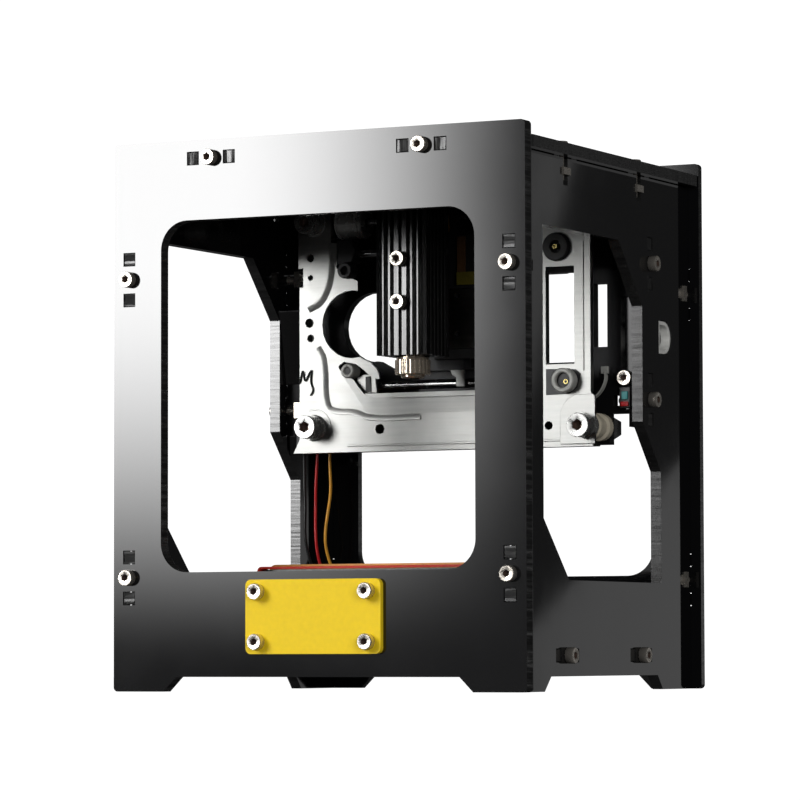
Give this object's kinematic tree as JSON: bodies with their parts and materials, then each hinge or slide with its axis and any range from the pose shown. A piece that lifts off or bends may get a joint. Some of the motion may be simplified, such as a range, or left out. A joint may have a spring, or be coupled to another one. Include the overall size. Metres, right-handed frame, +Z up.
{
  "type": "desktop laser cutter",
  "caption": "Small desktop laser cutter: open glossy black acrylic box frame, finned laser head on an X stage above a work platform on a Y stage.",
  "frame": {"origin": "on the floor, under the middle of the frame", "axes": "+Z up, +X to the right seen from the front, +Y to the back"},
  "size_m": [0.156, 0.158, 0.188],
  "materials": {
    "black_acrylic": "glossy black acrylic",
    "platform_black": "satin black acrylic",
    "yellow_plate": "satin yellow",
    "nickel": "bright nickel plate",
    "galvanised_sheet": "zinc-plated pressed sheet",
    "steel": "ground steel",
    "black_aluminium": "black anodised",
    "champagne_metal": "champagne anodised, knurled",
    "gray_plastic": "moulded dark grey",
    "red_rubber": "matt red elastic",
    "tan_rubber": "matt tan elastic",
    "circuit_board": "green solder mask",
    "red_wire": "pvc insulation",
    "orange_wire": "pvc insulation",
    "black_wire": "pvc insulation"
  },
  "bodies": {
    "frame": {"back_panel": "black_acrylic", "back_screw_top_left": "nickel", "back_screw_top_right": "nickel", "base_plate": "black_acrylic", "base_screw_back_left": "nickel", "base_screw_back_right": "nickel", "base_screw_front_left": "nickel", "base_screw_front_right": "nickel", "chassis_bolt_high_left": "nickel", "chassis_bolt_high_right": "nickel", "chassis_bolt_low_left": "nickel", "chassis_bolt_low_right": "nickel", "control_board": "circuit_board", "front_panel": "black_acrylic", "front_screw_high_left": "nickel", "front_screw_high_right": "nickel", "front_screw_low_left": "nickel", "front_screw_low_right": "nickel", "front_screw_top_left": "nickel", "front_screw_top_right": "nickel", "left_side_panel": "black_acrylic", "middle_plate": "black_acrylic", "middle_screw_high_left": "nickel", "middle_screw_high_right": "nickel", "middle_screw_low_left": "nickel", "middle_screw_low_right": "nickel", "motor_lead_black": "black_wire", "motor_lead_orange": "orange_wire", "motor_lead_red": "red_wire", "name_plate": "yellow_plate", "name_plate_screw_1": "nickel", "name_plate_screw_2": "nickel", "name_plate_screw_3": "nickel", "name_plate_screw_4": "nickel", "right_side_panel": "black_acrylic", "top_panel": "black_acrylic", "top_screw_back_left": "nickel", "top_screw_back_right": "nickel", "top_screw_front_left": "nickel", "top_screw_front_right": "nickel", "x_chassis": "galvanised_sheet", "x_motor": "steel", "x_rod_lower": "steel", "x_rod_upper": "steel", "y_chassis": "galvanised_sheet", "y_motor": "steel", "y_rod_left": "steel", "y_rod_right": "steel"},
    "laser_head": {"x_carriage": "gray_plastic", "heat_sink": "black_aluminium", "laser_module": "champagne_metal", "heat_sink_screw_low": "nickel", "heat_sink_screw_high": "nickel"},
    "focus": {"focus_ring": "champagne_metal"},
    "x_screw": {"x_lead_screw": "steel"},
    "platform": {"y_carriage": "gray_plastic", "work_platform": "platform_black", "hold_down_band_red": "red_rubber", "hold_down_band_tan": "tan_rubber"},
    "y_screw": {"y_lead_screw": "steel"}
  },
  "joints": [
    {"name": "x_slide", "type": "slide", "parent": "frame", "child": "laser_head", "axis": [1, 0, 0], "range_m": [-0.019, 0.019]},
    {"name": "x_screw_turn", "type": "hinge", "parent": "frame", "child": "x_screw", "pos_m": [0.006, 0.029, 0.1682], "axis": [1, 0, 0], "range_deg": [-2290, 2290]},
    {"name": "focus_turn", "type": "hinge", "parent": "laser_head", "child": "focus", "pos_m": [-0.0013, 0.001, 0.1135], "axis": [0, 0, 1], "range_deg": [-540, 540]},
    {"name": "y_slide", "type": "slide", "parent": "frame", "child": "platform", "axis": [0, 1, 0], "range_m": [-0.019, 0.019]},
    {"name": "y_screw_turn", "type": "hinge", "parent": "frame", "child": "y_screw", "pos_m": [-0.036, 0.002, 0.0312], "axis": [0, 1, 0], "range_deg": [-2290, 2290]}
  ],
  "couplings": [
    {"joint": "x_screw_turn", "follows": "x_slide", "rad_per_m": 2094.4},
    {"joint": "y_screw_turn", "follows": "y_slide", "rad_per_m": 2094.4}
  ]
}
